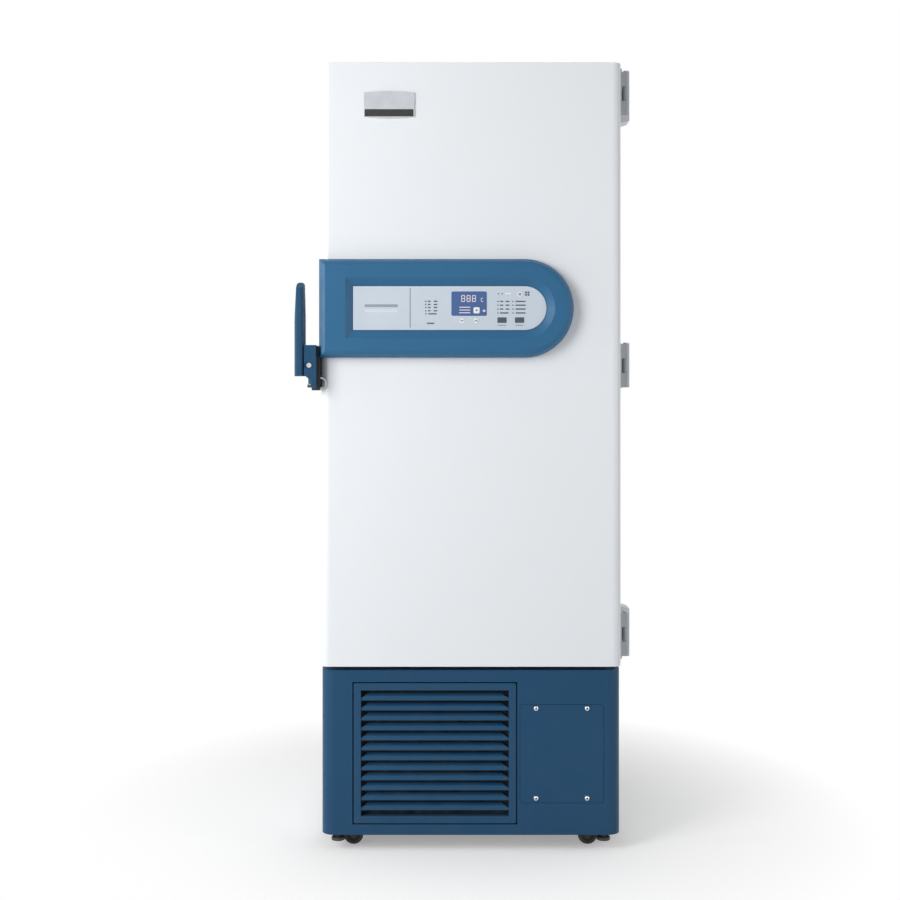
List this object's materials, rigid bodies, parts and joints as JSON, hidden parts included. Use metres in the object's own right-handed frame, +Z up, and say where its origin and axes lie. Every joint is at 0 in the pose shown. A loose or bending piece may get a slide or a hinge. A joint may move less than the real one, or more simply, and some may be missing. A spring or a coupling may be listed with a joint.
{
  "type": "ultra low temperature freezer",
  "caption": "Upright ultra low temperature freezer with a side-hinged insulated door, latch handle, keypad housing, inner doors, louvred machine compartment and casters.",
  "frame": {"origin": "on the floor under the middle of the whole outline", "axes": "+Z up, -Y towards the user in front of the door, +X to the hinge side"},
  "size_m": [0.851, 0.892, 1.98],
  "materials": {
    "white_paint": "satin",
    "blue_paint": "satin",
    "blue_plastic": "satin",
    "white_plastic": "satin",
    "silver_overlay": "satin",
    "key_plastic": "gloss",
    "badge_metal": "satin",
    "chrome_lock": "polished",
    "zinc_steel": "satin",
    "stainless": "satin",
    "hinge_grey": "satin",
    "cover_white": "satin",
    "black_metal": "satin",
    "black_plastic": "matte",
    "wheel_rubber": "matte",
    "grey_rubber": "matte",
    "white_rubber": "matte",
    "foam": "matte",
    "filter_mat": "matte",
    "fan_plastic": "satin",
    "copper": "satin"
  },
  "bodies": {
    "cabinet": {"cabinet_wrapper": "white_paint", "rear_panel": "zinc_steel", "foam_insulation": "foam", "inner_liner": "stainless", "breaker_frame": "white_plastic", "shelf_lower": "stainless", "shelf_middle": "stainless", "shelf_upper": "stainless", "port_tube": "white_plastic", "inner_door_hinges": "stainless", "latch_keeper": "zinc_steel", "hinge_cabinet_leaves": "hinge_grey", "hinge_pins": "zinc_steel", "hinge_covers": "cover_white", "front_panel": "blue_paint", "service_cover": "blue_paint", "air_filter": "filter_mat", "base_frame": "black_metal", "compressor_first_stage": "black_metal", "compressor_second_stage": "black_metal", "condenser_coil": "black_metal", "fan_shroud": "zinc_steel", "fan_motor": "black_metal", "refrigerant_lines": "copper", "electrical_box": "zinc_steel", "rear_vent_cover": "zinc_steel", "cable_gland": "black_plastic"},
    "outer_door": {"door_skin": "white_paint", "door_foam": "foam", "door_liner": "white_plastic", "door_gasket": "grey_rubber", "fascia_housing": "blue_plastic", "control_overlay": "silver_overlay", "badge_plate": "badge_metal", "handle_bracket": "black_metal", "handle_pivot_pin": "black_metal", "padlock_eye": "zinc_steel", "hinge_door_leaves": "hinge_grey"},
    "handle": {"handle_lever": "blue_plastic"},
    "lock": {"key_lock": "chrome_lock"},
    "roller": {"keeper_roller": "chrome_lock"},
    "grille": {"louvre_grille": "blue_plastic"},
    "plug": {"port_plug": "white_rubber"},
    "fan": {"fan_blade": "fan_plastic"},
    "inner_lower": {"inner_door_lower": "white_plastic"},
    "inner_upper": {"inner_door_upper": "white_plastic"},
    "key_up": {"key_up": "key_plastic"},
    "key_down": {"key_down": "key_plastic"},
    "key_set": {"key_set": "key_plastic"},
    "key_mute": {"key_mute": "key_plastic"},
    "fork_front_left": {"caster_fork_front_left": "black_metal"},
    "wheel_front_left": {"caster_wheel_front_left": "wheel_rubber"},
    "fork_front_right": {"caster_fork_front_right": "black_metal"},
    "wheel_front_right": {"caster_wheel_front_right": "wheel_rubber"},
    "fork_rear_left": {"caster_fork_rear_left": "black_metal"},
    "wheel_rear_left": {"caster_wheel_rear_left": "wheel_rubber"},
    "fork_rear_right": {"caster_fork_rear_right": "black_metal"},
    "wheel_rear_right": {"caster_wheel_rear_right": "wheel_rubber"},
    "foot_left": {"levelling_foot_left": "black_plastic"},
    "foot_right": {"levelling_foot_right": "black_plastic"}
  },
  "joints": [
    {"name": "door_swing", "type": "hinge", "parent": "cabinet", "child": "outer_door", "pos_m": [0.396, -0.335, 1.222], "axis": [0, 0, 1], "range_deg": [0, 110]},
    {"name": "inner_door_lower_swing", "type": "hinge", "parent": "cabinet", "child": "inner_lower", "pos_m": [0.242, -0.279, 0.905], "axis": [0, 0, 1], "range_deg": [0, 88]},
    {"name": "inner_door_upper_swing", "type": "hinge", "parent": "cabinet", "child": "inner_upper", "pos_m": [0.242, -0.279, 1.537], "axis": [0, 0, 1], "range_deg": [0, 88]},
    {"name": "handle_swing", "type": "hinge", "parent": "outer_door", "child": "handle", "pos_m": [-0.406, -0.312, 1.218], "axis": [0, 0, -1], "range_deg": [0, 36]},
    {"name": "lock_turn", "type": "hinge", "parent": "handle", "child": "lock", "pos_m": [-0.4005, -0.43, 1.221], "axis": [0, -1, 0], "range_deg": [0, 90]},
    {"name": "keeper_roller_spin", "type": "hinge", "parent": "cabinet", "child": "roller", "pos_m": [-0.41445, -0.29387, 1.22], "axis": [0, 0, 1], "continuous": true},
    {"name": "key_up_press", "type": "slide", "parent": "outer_door", "child": "key_up", "axis": [0, 1, 0], "range_m": [0, 0.001], "stiffness_N_per_m": 300},
    {"name": "key_down_press", "type": "slide", "parent": "outer_door", "child": "key_down", "axis": [0, 1, 0], "range_m": [0, 0.001], "stiffness_N_per_m": 300},
    {"name": "key_set_press", "type": "slide", "parent": "outer_door", "child": "key_set", "axis": [0, 1, 0], "range_m": [0, 0.001], "stiffness_N_per_m": 300},
    {"name": "key_mute_press", "type": "slide", "parent": "outer_door", "child": "key_mute", "axis": [0, 1, 0], "range_m": [0, 0.001], "stiffness_N_per_m": 300},
    {"name": "grille_pull", "type": "slide", "parent": "cabinet", "child": "grille", "axis": [0, -1, 0], "range_m": [0, 0.06]},
    {"name": "plug_pull", "type": "slide", "parent": "cabinet", "child": "plug", "axis": [0, 1, 0], "range_m": [0, 0.08]},
    {"name": "fan_spin", "type": "hinge", "parent": "cabinet", "child": "fan", "pos_m": [-0.0925, -0.23, 0.24], "axis": [0, 1, 0], "continuous": true},
    {"name": "caster_swivel_front_left", "type": "hinge", "parent": "cabinet", "child": "fork_front_left", "pos_m": [-0.277, -0.315, 0.05], "axis": [0, 0, 1], "continuous": true},
    {"name": "wheel_spin_front_left", "type": "hinge", "parent": "fork_front_left", "child": "wheel_front_left", "pos_m": [-0.299, -0.315, 0.025], "axis": [0, 1, 0], "continuous": true},
    {"name": "caster_swivel_front_right", "type": "hinge", "parent": "cabinet", "child": "fork_front_right", "pos_m": [0.277, -0.315, 0.05], "axis": [0, 0, 1], "continuous": true},
    {"name": "wheel_spin_front_right", "type": "hinge", "parent": "fork_front_right", "child": "wheel_front_right", "pos_m": [0.299, -0.315, 0.025], "axis": [0, 1, 0], "continuous": true},
    {"name": "caster_swivel_rear_left", "type": "hinge", "parent": "cabinet", "child": "fork_rear_left", "pos_m": [-0.277, 0.335, 0.05], "axis": [0, 0, 1], "continuous": true},
    {"name": "wheel_spin_rear_left", "type": "hinge", "parent": "fork_rear_left", "child": "wheel_rear_left", "pos_m": [-0.299, 0.335, 0.025], "axis": [0, 1, 0], "continuous": true},
    {"name": "caster_swivel_rear_right", "type": "hinge", "parent": "cabinet", "child": "fork_rear_right", "pos_m": [0.277, 0.335, 0.05], "axis": [0, 0, 1], "continuous": true},
    {"name": "wheel_spin_rear_right", "type": "hinge", "parent": "fork_rear_right", "child": "wheel_rear_right", "pos_m": [0.299, 0.335, 0.025], "axis": [0, 1, 0], "continuous": true},
    {"name": "levelling_foot_left_drop", "type": "slide", "parent": "cabinet", "child": "foot_left", "axis": [0, 0, -1], "range_m": [0, 0.024]},
    {"name": "levelling_foot_right_drop", "type": "slide", "parent": "cabinet", "child": "foot_right", "axis": [0, 0, -1], "range_m": [0, 0.024]}
  ],
  "couplings": [
    {"joint": "inner_door_lower_swing", "follows": "door_swing", "ratio": 0.8},
    {"joint": "inner_door_upper_swing", "follows": "door_swing", "ratio": 0.8}
  ]
}
